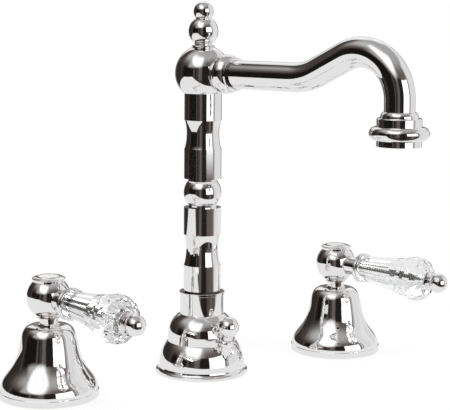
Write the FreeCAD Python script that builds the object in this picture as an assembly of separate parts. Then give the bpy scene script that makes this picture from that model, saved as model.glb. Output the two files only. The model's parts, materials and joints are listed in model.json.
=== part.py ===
import FreeCAD, Part
import math
import os

# Three-hole basin mixer with a swivel spout and two quarter-turn side valves.
# Millimetres. The deck's top face is z = 0, +Z is up, the user stands at -Y,
# the hot valve stands at -X and the cold valve at +X. The origin is the centre
# of the spout's seat.

V = FreeCAD.Vector
X_AXIS = V(1, 0, 0)
Y_AXIS = V(0, 1, 0)
Z_AXIS = V(0, 0, 1)
ORIGIN = V(0, 0, 0)

# Clearances
running_gap = 0.05        # radial, shaft in its bearing
joint_gap = 0.3           # between faces of pieces that turn past each other
fit_gap = 0.1             # radial, between pieces that are screwed together

# Layout
hole_spacing = 100.0      # spout hole to each valve hole
deck_thickness = 30.0     # top that the mixer is drawn clamped on
spout_turn = -76.3        # direction of the spout at rest, degrees from +X
hot_turn = -82.0          # direction of the hot lever at rest
cold_turn = -77.0         # direction of the cold lever at rest
knob_turn = -85.0         # side of the base that the lift knob stands on

# Pipe threads, drawn at their major radius
half_inch_thread = 10.48
three_quarter_thread = 13.22

# Spout base, a bell in two tiers
spout_rim_radius = 27.0
spout_rim_height = 1.4
lower_tier_radius = 25.0
lower_tier_height = 18.2
upper_tier_radius = 20.1
upper_tier_height = 34.4
bell_wall = 2.2
gasket_height = 2.0
gasket_width = 2.8

# Swivel housing
collar_radius = 12.95
collar_height = 13.2
collar_lip = 0.4
collar_lip_height = 1.4
bearing_radius = 8.6
bearing_depth = 27.0
waterway_radius = 6.0
spout_shank_length = 64.0
slip_ring_height = 0.6
slip_ring_radius = 10.4
o_ring_section = 0.85
spigot_bore = 5.0
spigot_socket = 12.0

# Fixings under the deck
washer_thickness = 2.5
spout_washer_radius = 21.0
spout_nut_flats = 25.0
backnut_height = 8.0
rod_notch_width = 6.0

# Inlet tee under the spout
tee_radius = 13.0
tee_height = 32.5
tee_socket = 10.0
tee_reach = 31.0
port_shoulder_radius = 11.0
port_shoulder_length = 1.5

# Spout column
column_radius = 10.9
waist_radius = 9.5
column_bore = 6.5
lower_plain_length = 14.8
lower_waist_length = 18.2
lower_top_length = 15.9
upper_plain_length = 17.5
upper_waist_length = 16.7
upper_top_length = 15.6
neck_radius = 8.3
neck_length = 1.45
middle_ball_radius = 11.05
middle_ball_height = 14.0
thread_length = 6.0

# Spout head and finial
head_radius = 16.4
head_seat_radius = 11.5
finial_disc_radius = 7.0
finial_disc_height = 0.8
finial_bead_radius = 5.3
finial_bead_height = 1.8
finial_foot_radius = 5.7
finial_ball_radius = 8.65
finial_tip_radius = 5.8
finial_neck_radius = 4.7
finial_neck_height = 0.4
finial_thread_radius = 4.0

# Spout tube
spout_reach = 139.1
tube_radius = 8.05
tube_wall = 1.35
tube_rise_angle = 25.75
tube_crest_radius = 24.5
tube_crest_above = 15.0
tube_bend_radius = 37.0
tube_drop = 5.8
union_ring_radius = 9.6
union_bead_radius = 11.3
union_bead_length = 10.2
union_ring_length = 1.8
union_socket = 7.0

# Outlet
outlet_radius = 11.7
outlet_top_height = 4.2
outlet_flare = 3.3
outlet_flare_step = 1.9
outlet_bead_radius = 15.6
outlet_bead_height = 7.2
aerator_height = 3.2
aerator_wall = 1.6
aerator_hole_radius = 0.9
insert_height = 4.5
insert_floor = 1.6

# Valve bell, with the levels of its flank as shares of its height
valve_bell_height = 39.5
valve_rim_radius = 27.5
valve_rim_height = 3.6
valve_rim_step = 0.5
valve_shoulder_radius = 26.1
valve_shoulder_share = 0.202
valve_flare_radius = 21.3
valve_flare_share = 0.376
valve_waist_radius = 17.5
valve_waist_share = 0.575
valve_cone_radius = 15.5
valve_cone_share = 0.803
valve_crown_radius = 13.2
valve_crown_share = 0.948
valve_top_radius = 8.8

# Valve body under the bell
flange_radius = 20.0
flange_height = 3.0
valve_washer_radius = 22.5
valve_nut_flats = 36.0
valve_shank_length = 44.0
valve_block_radius = 15.5
valve_block_height = 22.0
valve_tail_length = 18.0
valve_port_reach = 34.0
inlet_bore = 5.5
duct_radius = 2.6
duct_offset = 9.2
barrel_wall = 2.0
barrel_above_flange = 7.0
chamber_from = 4.0
chamber_to = 12.0

# Ceramic headwork
headwork_radius = 9.0
headwork_wall = 1.2
headwork_depth = 14.0
headwork_hex_flats = 24.0
headwork_hex_height = 5.0
headwork_neck_radius = 7.2
window_width = 5.0
window_height = 3.0
disc_thickness = 3.0
disc_port_radius = 5.6
spindle_radius = 3.6
spindle_foot = 3.0
drive_width = 3.0

# Sleeve that holds the bell down
sleeve_radius = 5.25
sleeve_lip_radius = 6.1
sleeve_lip = 0.8
sleeve_height = 4.3
sleeve_thread_length = 9.0

# Lever hub and index cap
hub_radius = 12.2
hub_foot_radius = 6.0
hub_seat_radius = 8.7
cap_radius = 9.15
cap_band_radius = 8.55
cap_height = 2.3
cap_edge = 0.9
cap_rim_radius = 7.0
cap_rim_height = 0.9
cap_rim_wall = 1.0
cap_plug_radius = 6.0
cap_plug_length = 3.5
enamel_thickness = 0.7
enamel_chamfer = 0.25

# Lever
lever_droop = 1.6         # degrees below level
boss_radius = 5.7
boss_start = 9.0
boss_end = 19.5
collar_ring_radius = 9.0
collar_ring_width = 1.7
collar_groove_radius = 7.9
collar_cup_radius = 8.8
collar_cup_depth = 1.5
tie_rod_radius = 2.0
end_ball_radius = 5.6
ferrule_radius = 5.9
ferrule_width = 1.6
ferrule_neck_radius = 3.2
ferrule_neck_length = 1.1

# Crystal, cut in flat facets
flute_count = 12
crystal_start_radius = 7.2
crystal_flute_radius = 10.2
crystal_flute_length = 24.4
bulb_radius = 13.2
bulb_shoulder_radius = 11.2
bulb_shoulder_length = 5.6
bulb_lead = 9.4           # first row of facets to the bulb's centre
bulb_rows = 5
bulb_row_pitch = 3.5
crystal_end_radius = 8.6
crystal_bore_gap = 0.4

# Lift knob for the pop-up waste
knob_ball_radius = 6.2
knob_height = 30.1
knob_offset = 25.0
knob_tilt = 12.0          # the rod leans in towards the shank, degrees
knob_neck_radius = 2.9
knob_neck_length = 1.0
guide_head_radius = 4.4
guide_head_height = 4.2
guide_shank_radius = 3.2
rod_radius = 2.0
rod_bend_depth = 8.6
rod_bend_radius = 20.0
rod_length_below = 75.0


def turned(*steps):
    """Solid of revolution about Z. A step is a point (r, z), a pair of points for an
    arc through the first to the second, or a list for a smooth curve to its last."""
    edges = []
    start = V(steps[0][0], 0, steps[0][1])
    first = start
    for step in steps[1:]:
        if isinstance(step, list):
            through = [start] + [V(r, 0, z) for r, z in step]
            curve = Part.BSplineCurve()
            curve.interpolate(through)
            edges.append(curve.toShape())
            end = through[-1]
        elif isinstance(step[0], tuple):
            middle = V(step[0][0], 0, step[0][1])
            end = V(step[1][0], 0, step[1][1])
            edges.append(Part.Arc(start, middle, end).toShape())
        else:
            end = V(step[0], 0, step[1])
            edges.append(Part.makeLine(start, end))
        start = end
    if (start - first).Length > 1e-6:
        edges.append(Part.makeLine(start, first))
    face = Part.Face(Part.Wire(edges))
    return face.revolve(ORIGIN, Z_AXIS, 360)


def rod(radius, low, high):
    """Cylinder about Z between two heights."""
    return Part.makeCylinder(radius, high - low, V(0, 0, low))


def ring(outer, inner, low, high):
    return rod(outer, low, high).cut(rod(inner, low, high))


def hexagon(flats, low, high):
    corner = flats / 2 / math.cos(math.radians(30))
    corners = []
    for i in range(7):
        angle = math.radians(60 * i)
        corners.append(V(corner * math.cos(angle), corner * math.sin(angle), low))
    face = Part.Face(Part.makePolygon(corners))
    return face.extrude(V(0, 0, high - low))


def arc_middle(a, b, bulge):
    """Point beside the middle of the chord from a to b, bulge to its right."""
    dr = b[0] - a[0]
    dz = b[1] - a[1]
    length = math.hypot(dr, dz)
    return ((a[0] + b[0]) / 2 + bulge * dz / length, (a[1] + b[1]) / 2 - bulge * dr / length)


def sphere_cut(radius, height):
    """Radius of a sphere's section at a distance from its centre."""
    return math.sqrt(radius ** 2 - height ** 2)


def along_x(shape):
    """Lay a piece that was turned about Z along +X."""
    moved = shape.copy()
    moved.rotate(ORIGIN, Y_AXIS, 90)
    return moved


def port(shape, height, side):
    """Lay a turned piece along +X or -X at a height."""
    moved = along_x(shape)
    if side < 0:
        moved.rotate(ORIGIN, Z_AXIS, 180)
    moved.translate(V(0, 0, height))
    return moved


def export(name, shape):
    shape.exportStep("parts/" + name + ".step")
    print(name, round(shape.Volume, 1), shape.isValid(), len(shape.Solids))


# Heights that the pieces share
collar_base = upper_tier_height
collar_top = collar_base + collar_height
spout_base = collar_top + slip_ring_height + joint_gap
lower_waist_low = spout_base + lower_plain_length
lower_waist_high = lower_waist_low + lower_waist_length
lower_column_top = lower_waist_high + lower_top_length
ball_base = lower_column_top + neck_length
ball_centre_height = ball_base + middle_ball_height / 2
ball_top = ball_base + middle_ball_height
upper_column_base = ball_top + neck_length
upper_waist_low = upper_column_base + upper_plain_length
upper_waist_high = upper_waist_low + upper_waist_length
upper_column_top = upper_waist_high + upper_top_length
head_height = upper_column_top + sphere_cut(head_radius, head_seat_radius)
sleeve_top = valve_bell_height + sleeve_height
hub_height = sleeve_top + joint_gap + sphere_cut(hub_radius, hub_foot_radius)
hub_top = hub_height + sphere_cut(hub_radius, hub_seat_radius)


# Lift rod's axis, leaning in towards the shank
def on_rod(piece, at_height=0.0):
    """Place a piece turned about Z, with its origin at the knob's centre."""
    moved = piece.copy()
    moved.rotate(ORIGIN, Y_AXIS, knob_tilt)
    moved.translate(V(knob_offset, 0, knob_height))
    moved.rotate(ORIGIN, Z_AXIS, knob_turn)
    return moved


guide_top = -(knob_ball_radius + knob_neck_length + joint_gap)
guide_seat = guide_top - guide_head_height


def bell_shell():
    """Tiered base of the spout, open below, with a rebate for its gasket."""
    wall = bell_wall
    low = lower_tier_radius
    tier_z = lower_tier_height
    up = upper_tier_radius
    top = upper_tier_height
    upper_straight = tier_z + 0.3 * (top - tier_z)
    foot = (low + 0.2, spout_rim_height + 1.6)
    shoulder = (up + 0.4, tier_z - 0.2)
    land = (collar_radius + 0.7, top - 0.3)
    outer = turned(
        (0, 0),
        (spout_rim_radius, 0),
        (spout_rim_radius, spout_rim_height),
        (arc_middle((spout_rim_radius, spout_rim_height), foot, -0.3), foot),
        (low, spout_rim_height + 2.4),
        (arc_middle((low, spout_rim_height + 2.4), shoulder, 1.3), shoulder),
        (up, tier_z + 0.2),
        (up - 0.2, upper_straight),
        (arc_middle((up - 0.2, upper_straight), land, 1.5), land),
        (collar_radius + 0.3, top),
        (0, top),
    )
    inner_low = (low - wall - 0.4, gasket_height)
    inner_shoulder = (up - wall, tier_z - wall)
    inner_top = (collar_radius - wall + 1.2, top - wall)
    inner = turned(
        (0, 0),
        (low - 0.1, 0),
        (low - 0.1, gasket_height),
        inner_low,
        (arc_middle(inner_low, inner_shoulder, 1.3), inner_shoulder),
        (up - wall - 0.2, upper_straight),
        (arc_middle((up - wall - 0.2, upper_straight), inner_top, 1.6), inner_top),
        (0, top - wall),
    )
    hole = rod(half_inch_thread + joint_gap, 0, top)
    return outer.cut(inner).cut(hole)


def spout_escutcheon():
    shell = bell_shell()
    spot_face = on_rod(rod(guide_head_radius + joint_gap, guide_seat, knob_height))
    drilling = on_rod(rod(guide_shank_radius + fit_gap, -knob_height, 0))
    return shell.cut(spot_face).cut(drilling)


def rod_guide():
    """Bush with a rounded head, seated in the base where the lift rod enters."""
    shank_end = guide_seat - 2.0 * bell_wall
    waist = guide_head_radius - 1.1
    head_side = (guide_head_radius, guide_seat + 0.45 * guide_head_height)
    body = turned(
        (rod_radius + running_gap, shank_end),
        (guide_shank_radius, shank_end),
        (guide_shank_radius, guide_seat),
        (waist, guide_seat),
        (arc_middle((waist, guide_seat), head_side, 0.4), head_side),
        (arc_middle(head_side, (waist, guide_top), 0.4), (waist, guide_top)),
        (rod_radius + running_gap, guide_top),
    )
    return on_rod(body)


def lift_knob():
    neck_end = -(knob_ball_radius + knob_neck_length)
    joint = -sphere_cut(knob_ball_radius, knob_neck_radius)
    body = turned(
        (0, neck_end),
        (knob_neck_radius + 0.3, neck_end),
        (knob_neck_radius, joint),
        ((knob_ball_radius, 0), (0, knob_ball_radius)),
        (0, neck_end),
    )
    socket = rod(rod_radius + fit_gap, neck_end, 0)
    return on_rod(body.cut(socket))


def lift_rod():
    """Straight through its guide, then bent to run down beside the shank."""
    tilt = math.radians(knob_tilt)
    top = V(knob_offset, 0, knob_height)
    bend_x = knob_offset - (knob_height + rod_bend_depth) * math.tan(tilt)
    corner = V(bend_x, 0, -rod_bend_depth)
    cut_back = rod_bend_radius * math.tan(tilt / 2)
    down = V(-math.sin(tilt), 0, -math.cos(tilt))
    arc_start = corner - down * cut_back
    arc_end = corner + V(0, 0, -cut_back)
    centre = V(bend_x + rod_bend_radius, 0, -rod_bend_depth - cut_back)
    to_middle = V(-math.cos(tilt / 2), 0, math.sin(tilt / 2))
    arc_mid = centre + to_middle * rod_bend_radius
    path = Part.Wire([
        Part.makeLine(top, arc_start),
        Part.Arc(arc_start, arc_mid, arc_end).toShape(),
        Part.makeLine(arc_end, V(bend_x, 0, -rod_length_below)),
    ])
    section = Part.Wire([Part.makeCircle(rod_radius, top, down)])
    body = path.makePipeShell([section], True, False)
    body.rotate(ORIGIN, Z_AXIS, knob_turn)
    return body


def swivel_housing():
    lip = collar_radius + collar_lip
    body = turned(
        (0, -spout_shank_length),
        (half_inch_thread, -spout_shank_length),
        (half_inch_thread, collar_base),
        (collar_radius, collar_base),
        (collar_radius, collar_top - collar_lip_height - 0.2),
        (lip, collar_top - collar_lip_height),
        (lip, collar_top - 0.2),
        (lip - 0.2, collar_top),
        (0, collar_top),
    )
    bearing = rod(bearing_radius + running_gap, collar_top - bearing_depth, collar_top)
    water = rod(waterway_radius, -spout_shank_length, collar_top)
    return body.cut(bearing).cut(water)


def slip_ring():
    inner = bearing_radius + joint_gap
    return ring(slip_ring_radius, inner, collar_top, collar_top + slip_ring_height)


def spout_gasket():
    outer = lower_tier_radius - 0.2
    return ring(outer, outer - gasket_width, 0, gasket_height)


def spout_clamp_washer():
    top = -deck_thickness
    body = ring(spout_washer_radius, half_inch_thread + joint_gap, top - washer_thickness, top)
    notch = Part.makeBox(
        spout_washer_radius, rod_notch_width, washer_thickness,
        V(half_inch_thread + 3.0, -rod_notch_width / 2, top - washer_thickness),
    )
    notch.rotate(ORIGIN, Z_AXIS, knob_turn)
    return body.cut(notch)


def backnut(flats, thread, low, high):
    """Hexagon nut with its corners turned off at both ends."""
    corner = flats / 2 / math.cos(math.radians(30))
    chamfer = corner - flats / 2
    envelope = turned(
        (thread + fit_gap, low),
        (flats / 2, low),
        (corner, low + chamfer / 2),
        (corner, high - chamfer / 2),
        (flats / 2, high),
        (thread + fit_gap, high),
    )
    return hexagon(flats, low, high).common(envelope)


def spout_backnut():
    top = -deck_thickness - washer_thickness
    return backnut(spout_nut_flats, half_inch_thread, top - backnut_height, top)


def threaded_port(block_radius, reach):
    """Port with a flat shoulder where it leaves its block."""
    shoulder = rod(port_shoulder_radius, 0, block_radius + port_shoulder_length)
    return shoulder.fuse(rod(half_inch_thread, 0, reach)).removeSplitter()


def inlet_tee():
    """Tee screwed to the shank, with a threaded port towards each valve."""
    shank_end = -spout_shank_length
    top = shank_end + tee_socket
    low = top - tee_height
    port_height = (shank_end + low) / 2
    body = rod(tee_radius, low, top)
    for side in (-1, 1):
        body = body.fuse(port(threaded_port(tee_radius, tee_reach), port_height, side))
    body = body.cut(rod(half_inch_thread + fit_gap, shank_end, top))
    body = body.cut(rod(waterway_radius, port_height, top))
    for side in (-1, 1):
        body = body.cut(port(rod(waterway_radius, 0, tee_reach), port_height, side))
    return body.removeSplitter()


def swivel_spigot():
    """Bearing stem of the spout with two ring grooves, screwed into the column."""
    low = collar_top - bearing_depth + joint_gap
    high = spout_base + spigot_socket
    body = ring(bearing_radius, spigot_bore, low, high)
    for centre in o_ring_heights():
        groove = ring(bearing_radius, o_ring_inner(), centre - o_ring_section, centre + o_ring_section)
        body = body.cut(groove)
    return body


def o_ring_heights():
    low = collar_top - bearing_depth
    return (low + 0.25 * bearing_depth, low + 0.72 * bearing_depth)


def o_ring_inner():
    return bearing_radius - 2 * o_ring_section


def o_ring(centre):
    body = Part.makeTorus(bearing_radius - o_ring_section, o_ring_section - fit_gap / 2)
    body.translate(V(0, 0, centre))
    return body


def waisted_tube(low, waist_low, waist_high, high, bore):
    """Column section: two plain bands and a waist between them."""
    narrow = waist_low + 0.45 * (waist_high - waist_low)
    edge = column_radius - 0.2
    lower_dip = arc_middle((edge, waist_low), (waist_radius, narrow), -0.25)
    upper_dip = arc_middle((waist_radius, narrow), (edge, waist_high), -0.45)
    return turned(
        (bore, low),
        (column_radius, low),
        (column_radius, waist_low),
        (edge, waist_low),
        (lower_dip, (waist_radius, narrow)),
        (upper_dip, (edge, waist_high)),
        (column_radius, waist_high),
        (column_radius, high),
        (bore, high),
    )


def column_lower():
    high = lower_column_top
    body = waisted_tube(spout_base, lower_waist_low, lower_waist_high, high, column_bore)
    socket = rod(bearing_radius + fit_gap, spout_base, spout_base + spigot_socket)
    top_socket = rod(neck_radius - 1.0 + fit_gap, high - thread_length, high)
    return body.cut(socket).cut(top_socket)


def column_ball():
    """Ball between two necks, with a threaded stub at each end."""
    stub = neck_radius - 1.0
    cut = sphere_cut(middle_ball_radius, middle_ball_height / 2)
    return turned(
        (column_bore, lower_column_top - thread_length),
        (stub, lower_column_top - thread_length),
        (stub, lower_column_top),
        (neck_radius, lower_column_top),
        (neck_radius, ball_base),
        (cut, ball_base),
        ((middle_ball_radius, ball_centre_height), (cut, ball_top)),
        (neck_radius, ball_top),
        (neck_radius, upper_column_base),
        (stub, upper_column_base),
        (stub, upper_column_base + thread_length),
        (column_bore, upper_column_base + thread_length),
    )


def column_upper():
    low = upper_column_base
    body = waisted_tube(low, upper_waist_low, upper_waist_high, upper_column_top, column_bore)
    socket = rod(neck_radius - 1.0 + fit_gap, low, low + thread_length)
    stub = ring(neck_radius - 1.0, column_bore, upper_column_top, upper_column_top + thread_length)
    return body.cut(socket).fuse(stub).removeSplitter()


union_start = sphere_cut(head_radius, union_ring_radius) - 0.6
union_bead_start = union_start + 1.2
union_bead_end = union_bead_start + union_bead_length
union_end = union_bead_end + union_ring_length
chamber_end = head_height + tube_radius


def in_spout(shape):
    """Turn a piece built with the spout along +X to the spout's own direction."""
    shape.rotate(ORIGIN, Z_AXIS, spout_turn)
    return shape


def spout_head():
    """Hollow ball over the column, with a seat for the tube's union."""
    ball = Part.makeSphere(head_radius, V(0, 0, head_height))
    ball = ball.cut(rod(head_radius, head_height - head_radius, upper_column_top))
    finial_seat = head_height + sphere_cut(head_radius, finial_disc_radius - 1.0)
    ball = ball.cut(rod(head_radius, finial_seat, head_height + head_radius))
    ball = ball.cut(rod(neck_radius - 1.0 + fit_gap, upper_column_top, upper_column_top + thread_length))
    ball = ball.cut(rod(column_bore, upper_column_top, chamber_end))
    ball = ball.cut(rod(finial_thread_radius + fit_gap, chamber_end, head_height + head_radius))
    face = along_x(rod(union_ring_radius + fit_gap, union_start, head_radius))
    side = along_x(rod(tube_radius - 0.7 + fit_gap, 0, head_radius))
    for cutter in (face, side):
        cutter.translate(V(0, 0, head_height))
        ball = ball.cut(cutter)
    return in_spout(ball)


def finial():
    """Turned finial: thin disc, bead, ball, neck and tip ball."""
    seat = head_height + sphere_cut(head_radius, finial_disc_radius - 1.0)
    disc_top = seat + finial_disc_height
    bead = finial_bead_radius
    ball_seat = disc_top + finial_bead_height
    ball = finial_ball_radius
    tip = finial_tip_radius
    neck = finial_neck_radius
    ball_centre = ball_seat + sphere_cut(ball, finial_foot_radius)
    neck_low = ball_centre + sphere_cut(ball, neck)
    neck_high = neck_low + finial_neck_height
    tip_centre = neck_high + sphere_cut(tip, neck - 0.2)
    tip_top = tip_centre + tip
    return in_spout(turned(
        (0, seat - thread_length / 2),
        (finial_thread_radius, seat - thread_length / 2),
        (finial_thread_radius, seat),
        (finial_disc_radius - 0.9, seat),
        (finial_disc_radius, disc_top - 0.35),
        (finial_disc_radius - 0.3, disc_top),
        (bead - 0.6, disc_top + 0.2),
        (bead - 0.5, disc_top + 0.35 * finial_bead_height),
        ((bead, disc_top + 0.62 * finial_bead_height), (bead - 0.4, ball_seat - 0.1)),
        (finial_foot_radius, ball_seat),
        ((ball, ball_centre), (neck, neck_low)),
        (neck - 0.2, neck_high),
        ((tip, tip_centre), (0, tip_top)),
    ))


def union_collar():
    """Barrel-shaped union between the head and the tube."""
    stub = tube_radius - 0.7
    mouth = union_ring_radius
    tube_start = union_end - union_socket
    body = turned(
        (tube_radius - tube_wall, union_start - 3.0),
        (stub, union_start - 3.0),
        (stub, union_start),
        (mouth, union_start),
        (mouth, union_bead_start - 0.3),
        (mouth - 0.5, union_bead_start),
        ((union_bead_radius, union_bead_start + 0.47 * union_bead_length), (mouth - 0.7, union_bead_end)),
        (mouth, union_bead_end + 0.3),
        (mouth, union_bead_end + 0.45 * union_ring_length),
        (mouth - 0.4, union_bead_end + 0.55 * union_ring_length),
        (mouth, union_bead_end + 0.65 * union_ring_length),
        (mouth, union_end - 0.3),
        (mouth - 0.3, union_end),
        (tube_radius + fit_gap, union_end),
        (tube_radius + fit_gap, tube_start),
        (tube_radius - tube_wall, tube_start),
    )
    body = along_x(body)
    body.translate(V(0, 0, head_height))
    return in_spout(body)


outlet_top = head_height + tube_crest_above - tube_crest_radius - tube_drop


def tube_path():
    """Level run, a rising bend, a rising run, the crest and the drop."""
    rise = math.radians(tube_rise_angle)
    level = head_height
    crest_x = spout_reach - tube_crest_radius
    crest_z = level + tube_crest_above - tube_crest_radius
    crest_start = V(
        crest_x - tube_crest_radius * math.sin(rise), 0, crest_z + tube_crest_radius * math.cos(rise)
    )
    corner_x = crest_start.x - (crest_start.z - level) / math.tan(rise)
    cut_back = tube_bend_radius * math.tan(rise / 2)
    start = V(union_end - union_socket, 0, level)
    bend_start = V(corner_x - cut_back, 0, level)
    bend_end = V(corner_x + cut_back * math.cos(rise), 0, level + cut_back * math.sin(rise))
    bend_mid = V(
        corner_x - cut_back + tube_bend_radius * math.sin(rise / 2), 0,
        level + tube_bend_radius * (1 - math.cos(rise / 2)),
    )
    half_turn = (math.pi / 2 - rise) / 2
    crest_mid = V(
        crest_x + tube_crest_radius * math.sin(half_turn), 0,
        crest_z + tube_crest_radius * math.cos(half_turn),
    )
    crest_end = V(spout_reach, 0, crest_z)
    mouth = V(spout_reach, 0, outlet_top - 3.0)
    return Part.Wire([
        Part.makeLine(start, bend_start),
        Part.Arc(bend_start, bend_mid, bend_end).toShape(),
        Part.makeLine(bend_end, crest_start),
        Part.Arc(crest_start, crest_mid, crest_end).toShape(),
        Part.makeLine(crest_end, mouth),
    ])


def spout_tube():
    path = tube_path()
    start = path.OrderedVertexes[0].Point
    outer = path.makePipeShell([Part.Wire([Part.makeCircle(tube_radius, start, X_AXIS)])], True, False)
    bore = path.makePipeShell(
        [Part.Wire([Part.makeCircle(tube_radius - tube_wall, start, X_AXIS)])], True, False
    )
    return in_spout(outer.cut(bore))


# Levels of the outlet, downwards
outlet_shoulder = outlet_top - outlet_flare
bead_top = outlet_shoulder - outlet_top_height
bead_base = bead_top - outlet_bead_height
aerator_base = bead_base - aerator_height


def at_outlet(shape):
    shape.translate(V(spout_reach, 0, 0))
    return in_spout(shape)


def outlet_ring():
    """Flared mouthpiece with a band and a round bead, brazed on the tube."""
    flare = tube_radius + outlet_flare_step
    bead_middle = (bead_top + bead_base) / 2
    return at_outlet(turned(
        (tube_radius - tube_wall, outlet_top - 3.0),
        (tube_radius + fit_gap, outlet_top - 3.0),
        (tube_radius + fit_gap, outlet_top),
        (tube_radius + 0.5, outlet_top),
        (arc_middle((tube_radius + 0.5, outlet_top), (flare, outlet_shoulder + 0.4), -0.35),
         (flare, outlet_shoulder + 0.4)),
        (outlet_radius - 0.4, outlet_shoulder + 0.2),
        (outlet_radius, outlet_shoulder - 0.3),
        (outlet_radius, bead_top),
        (outlet_bead_radius - outlet_bead_height / 2, bead_top),
        ((outlet_bead_radius, bead_middle), (outlet_bead_radius - outlet_bead_height / 2, bead_base)),
        (outlet_radius - aerator_wall + fit_gap, bead_base),
        (outlet_radius - aerator_wall + fit_gap, bead_middle),
        (tube_radius - tube_wall, bead_middle + 2.0),
    ))


def aerator_housing():
    inner = outlet_radius - 2 * aerator_wall
    thread_top = bead_base + 0.4 * outlet_bead_height
    return at_outlet(turned(
        (inner - 0.6, aerator_base),
        (outlet_radius - 0.2, aerator_base),
        (outlet_radius, aerator_base + 0.2),
        (outlet_radius, bead_base),
        (outlet_radius - aerator_wall, bead_base),
        (outlet_radius - aerator_wall, thread_top),
        (inner, thread_top),
        (inner, aerator_base + 0.8),
        (inner - 0.6, aerator_base + 0.8),
    ))


def aerator_insert():
    """Perforated jet disc with two rings of holes round a middle hole."""
    radius = outlet_radius - 2 * aerator_wall - fit_gap
    low = aerator_base + 0.8
    top = low + insert_height
    body = rod(radius, low, low + insert_floor).fuse(ring(radius, radius - 1.2, low, top))
    body = body.cut(rod(aerator_hole_radius, low, low + insert_floor))
    for count, offset in ((6, radius * 0.35), (12, radius * 0.68)):
        for i in range(count):
            angle = 2 * math.pi * i / count
            hole = rod(aerator_hole_radius, low, low + insert_floor)
            hole.translate(V(offset * math.cos(angle), offset * math.sin(angle), 0))
            body = body.cut(hole)
    return at_outlet(body.removeSplitter())


# Side valve, built at its own origin with the port towards +X
def valve_bell():
    """Bell with a straight rim, a round shoulder, a hollow flank and a round crown."""
    outer = turned(
        (0, 0),
        (valve_rim_radius - 0.3, 0),
        (valve_rim_radius, 0.3),
        (valve_rim_radius, valve_rim_height - 0.2),
        (valve_rim_radius - valve_rim_step, valve_rim_height),
        bell_curve(0, valve_bell_height),
        (0, valve_bell_height),
    )
    under = valve_bell_height - bell_wall
    inner = turned(
        (0, 0),
        (valve_rim_radius - bell_wall, 0),
        (valve_rim_radius - valve_rim_step - bell_wall, valve_rim_height),
        bell_curve(bell_wall, under),
        (0, under),
    )
    return outer.cut(inner).cut(rod(sleeve_radius + joint_gap, 0, valve_bell_height))


def bell_curve(inset, top):
    """Smooth flank of the bell up to its top, moved inwards by a wall."""
    height = valve_bell_height
    lowered = height - top
    return [
        (valve_shoulder_radius - inset, valve_shoulder_share * height),
        (valve_flare_radius - inset, valve_flare_share * height - lowered / 4),
        (valve_waist_radius - inset, valve_waist_share * height - lowered / 4),
        (valve_cone_radius - inset, valve_cone_share * height - lowered / 2),
        (valve_crown_radius - inset, valve_crown_share * height - lowered),
        (valve_top_radius - inset, top),
    ]


seat_depth = -headwork_depth
body_top = gasket_height + flange_height + barrel_above_flange
block_top = -valve_shank_length
block_base = block_top - valve_block_height
port_height = (block_top + block_base) / 2
disc_radius = headwork_radius - headwork_wall - fit_gap
fixed_disc_top = seat_depth + 0.6 + disc_thickness
moving_disc_low = fixed_disc_top + joint_gap
moving_disc_top = moving_disc_low + disc_thickness


def valve_body():
    """Threaded barrel through the deck, water in from below, out at the side."""
    body = turned(
        (0, block_base - valve_tail_length),
        (half_inch_thread, block_base - valve_tail_length),
        (half_inch_thread, block_base),
        (valve_block_radius - 1.0, block_base),
        (valve_block_radius, block_base + 1.0),
        (valve_block_radius, block_top - 1.0),
        (valve_block_radius - 1.0, block_top),
        (three_quarter_thread, block_top),
        (three_quarter_thread, body_top),
        (0, body_top),
    )
    body = body.fuse(port(threaded_port(valve_block_radius, valve_port_reach), port_height, 1))
    seat = rod(headwork_radius + fit_gap, seat_depth, body_top)
    chamber = rod(three_quarter_thread - barrel_wall, seat_depth + chamber_from, seat_depth + chamber_to)
    inlet = rod(inlet_bore, block_base - valve_tail_length, seat_depth)
    duct = rod(duct_radius, port_height, seat_depth + chamber_from + duct_radius)
    duct.translate(V(duct_offset, 0, 0))
    outlet = port(rod(waterway_radius, duct_offset, valve_port_reach), port_height, 1)
    for cutter in (seat, chamber, inlet, duct, outlet):
        body = body.cut(cutter)
    return body.removeSplitter()


def flange_nut():
    """Round nut above the deck, under the bell, that the body hangs from."""
    low = gasket_height
    bore = three_quarter_thread + fit_gap
    return turned(
        (bore, low),
        (flange_radius, low),
        (flange_radius, low + flange_height - 1.0),
        (flange_radius - 1.0, low + flange_height),
        (bore, low + flange_height),
    )


def valve_gasket():
    return ring(flange_radius, three_quarter_thread + joint_gap, 0, gasket_height)


def valve_clamp_washer():
    top = -deck_thickness
    return ring(valve_washer_radius, three_quarter_thread + joint_gap, top - washer_thickness, top)


def valve_backnut():
    top = -deck_thickness - washer_thickness
    return backnut(valve_nut_flats, three_quarter_thread, top - backnut_height, top)


headwork_top = valve_bell_height - bell_wall - 0.2
sleeve_foot = valve_bell_height - sleeve_thread_length


def headwork():
    """Ceramic-disc headwork: a bonnet screwed into the body, with side windows."""
    inner = headwork_radius - headwork_wall
    hex_base = body_top
    hex_top = hex_base + headwork_hex_height
    cavity_top = moving_disc_top + spindle_foot + joint_gap
    body = rod(headwork_radius, seat_depth, hex_base)
    body = body.fuse(hexagon(headwork_hex_flats, hex_base, hex_top))
    body = body.fuse(rod(headwork_neck_radius, hex_top, headwork_top))
    body = body.cut(rod(inner, seat_depth + 0.6, cavity_top))
    body = body.cut(rod(disc_port_radius, seat_depth, seat_depth + 0.6))
    body = body.cut(rod(spindle_radius + running_gap, cavity_top, headwork_top))
    body = body.cut(rod(sleeve_radius - 0.05, sleeve_foot - 0.2, headwork_top))
    window = Part.makeBox(
        2 * headwork_radius + 2, window_width, window_height,
        V(-headwork_radius - 1, -window_width / 2, moving_disc_low + 0.2),
    )
    return body.cut(window.cut(rod(inner, seat_depth, cavity_top))).removeSplitter()


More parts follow.
